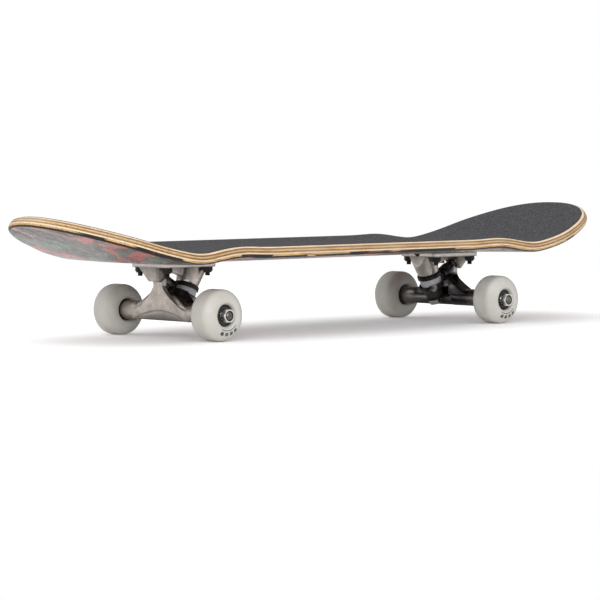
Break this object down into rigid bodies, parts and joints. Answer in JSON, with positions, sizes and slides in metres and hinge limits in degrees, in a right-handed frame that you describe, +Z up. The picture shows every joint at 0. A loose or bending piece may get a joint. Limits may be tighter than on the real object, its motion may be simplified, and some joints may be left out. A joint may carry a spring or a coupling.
{
  "type": "skateboard",
  "caption": "Kicktail skateboard: laminated maple deck with grip tape, two steering kingpin trucks and free-rolling urethane wheels on ball bearings.",
  "frame": {"origin": "on the floor, below the middle of the deck's overall length and width", "axes": "+X along the deck towards the nose, +Y across it to the rider's left when facing the nose, +Z up"},
  "size_m": [0.7831, 0.1968, 0.1303],
  "materials": {
    "grip": "abrasive grit paper, charcoal",
    "maple": "clear-lacquered edge of rotary-cut maple",
    "maple_cross": "cross-grain veneer, stained tan",
    "printed_maple": "gloss heat-transfer graphic over maple",
    "black_steel": "black oxide",
    "raw_cast": "tumbled raw casting",
    "steel": "plain steel",
    "zinc": "bright zinc",
    "race_steel": "ground bearing steel",
    "shield": "black rubber-coated shield",
    "cage": "natural nylon",
    "bushing": "grey urethane",
    "cup": "black urethane",
    "wheel": "off-white urethane"
  },
  "bodies": {
    "deck": {"grip_tape": "grip", "ply_1_top_face": "maple", "ply_2": "maple", "ply_3_cross": "maple_cross", "ply_4_core": "maple", "ply_5_cross": "maple_cross", "ply_6": "maple", "ply_7_bottom_face": "printed_maple", "mounting_bolts": "black_steel", "mounting_nuts": "black_steel", "baseplate_front": "raw_cast", "pivot_cup_front": "cup", "kingpin_front": "steel", "kingpin_nut_front": "black_steel", "washer_top_front": "black_steel", "washer_bottom_front": "black_steel", "bushing_top_front": "bushing", "bushing_bottom_front": "bushing", "baseplate_rear": "raw_cast", "pivot_cup_rear": "cup", "kingpin_rear": "steel", "kingpin_nut_rear": "black_steel", "washer_top_rear": "black_steel", "washer_bottom_rear": "black_steel", "bushing_top_rear": "bushing", "bushing_bottom_rear": "bushing"},
    "hanger_front": {"hanger_front": "raw_cast", "axle_front": "steel", "axle_nuts_front": "zinc", "speed_washers_front": "zinc", "bearing_inner_races_front": "race_steel", "bearing_spacers_front": "zinc"},
    "wheel_front_left": {"wheel_front_left": "wheel", "bearing_outer_races_front_left": "race_steel", "bearing_shields_front_left": "shield"},
    "balls_front_left": {"bearing_balls_front_left": "race_steel", "bearing_cages_front_left": "cage"},
    "wheel_front_right": {"wheel_front_right": "wheel", "bearing_outer_races_front_right": "race_steel", "bearing_shields_front_right": "shield"},
    "balls_front_right": {"bearing_balls_front_right": "race_steel", "bearing_cages_front_right": "cage"},
    "hanger_rear": {"hanger_rear": "raw_cast", "axle_rear": "steel", "axle_nuts_rear": "zinc", "speed_washers_rear": "zinc", "bearing_inner_races_rear": "race_steel", "bearing_spacers_rear": "zinc"},
    "wheel_rear_left": {"wheel_rear_left": "wheel", "bearing_outer_races_rear_left": "race_steel", "bearing_shields_rear_left": "shield"},
    "balls_rear_left": {"bearing_balls_rear_left": "race_steel", "bearing_cages_rear_left": "cage"},
    "wheel_rear_right": {"wheel_rear_right": "wheel", "bearing_outer_races_rear_right": "race_steel", "bearing_shields_rear_right": "shield"},
    "balls_rear_right": {"bearing_balls_rear_right": "race_steel", "bearing_cages_rear_right": "cage"}
  },
  "joints": [
    {"name": "steer_front", "type": "hinge", "parent": "deck", "child": "hanger_front", "pos_m": [0.18025, 0, 0.03809], "axis": [0.7966, 0, 0.6045], "range_deg": [-15, 15], "stiffness_Nm_per_rad": 40, "deforming": ["bushing_top_front", "bushing_bottom_front"]},
    {"name": "spin_front_left", "type": "hinge", "parent": "hanger_front", "child": "wheel_front_left", "pos_m": [0.20163, 0.075, 0.026], "axis": [0, 1, 0], "continuous": true},
    {"name": "balls_front_left_roll", "type": "hinge", "parent": "hanger_front", "child": "balls_front_left", "pos_m": [0.20163, 0.075, 0.026], "axis": [0, 1, 0], "continuous": true},
    {"name": "spin_front_right", "type": "hinge", "parent": "hanger_front", "child": "wheel_front_right", "pos_m": [0.20163, -0.075, 0.026], "axis": [0, 1, 0], "continuous": true},
    {"name": "balls_front_right_roll", "type": "hinge", "parent": "hanger_front", "child": "balls_front_right", "pos_m": [0.20163, -0.075, 0.026], "axis": [0, 1, 0], "continuous": true},
    {"name": "steer_rear", "type": "hinge", "parent": "deck", "child": "hanger_rear", "pos_m": [-0.18699, 0, 0.03809], "axis": [-0.7966, 0, 0.6045], "range_deg": [-15, 15], "stiffness_Nm_per_rad": 40, "deforming": ["bushing_top_rear", "bushing_bottom_rear"]},
    {"name": "spin_rear_left", "type": "hinge", "parent": "hanger_rear", "child": "wheel_rear_left", "pos_m": [-0.20837, 0.075, 0.026], "axis": [0, 1, 0], "continuous": true},
    {"name": "balls_rear_left_roll", "type": "hinge", "parent": "hanger_rear", "child": "balls_rear_left", "pos_m": [-0.20837, 0.075, 0.026], "axis": [0, 1, 0], "continuous": true},
    {"name": "spin_rear_right", "type": "hinge", "parent": "hanger_rear", "child": "wheel_rear_right", "pos_m": [-0.20837, -0.075, 0.026], "axis": [0, 1, 0], "continuous": true},
    {"name": "balls_rear_right_roll", "type": "hinge", "parent": "hanger_rear", "child": "balls_rear_right", "pos_m": [-0.20837, -0.075, 0.026], "axis": [0, 1, 0], "continuous": true}
  ],
  "couplings": [
    {"joint": "balls_front_left_roll", "follows": "spin_front_left", "ratio": 0.6323},
    {"joint": "balls_front_right_roll", "follows": "spin_front_right", "ratio": 0.6323},
    {"joint": "balls_rear_left_roll", "follows": "spin_rear_left", "ratio": 0.6323},
    {"joint": "balls_rear_right_roll", "follows": "spin_rear_right", "ratio": 0.6323}
  ]
}
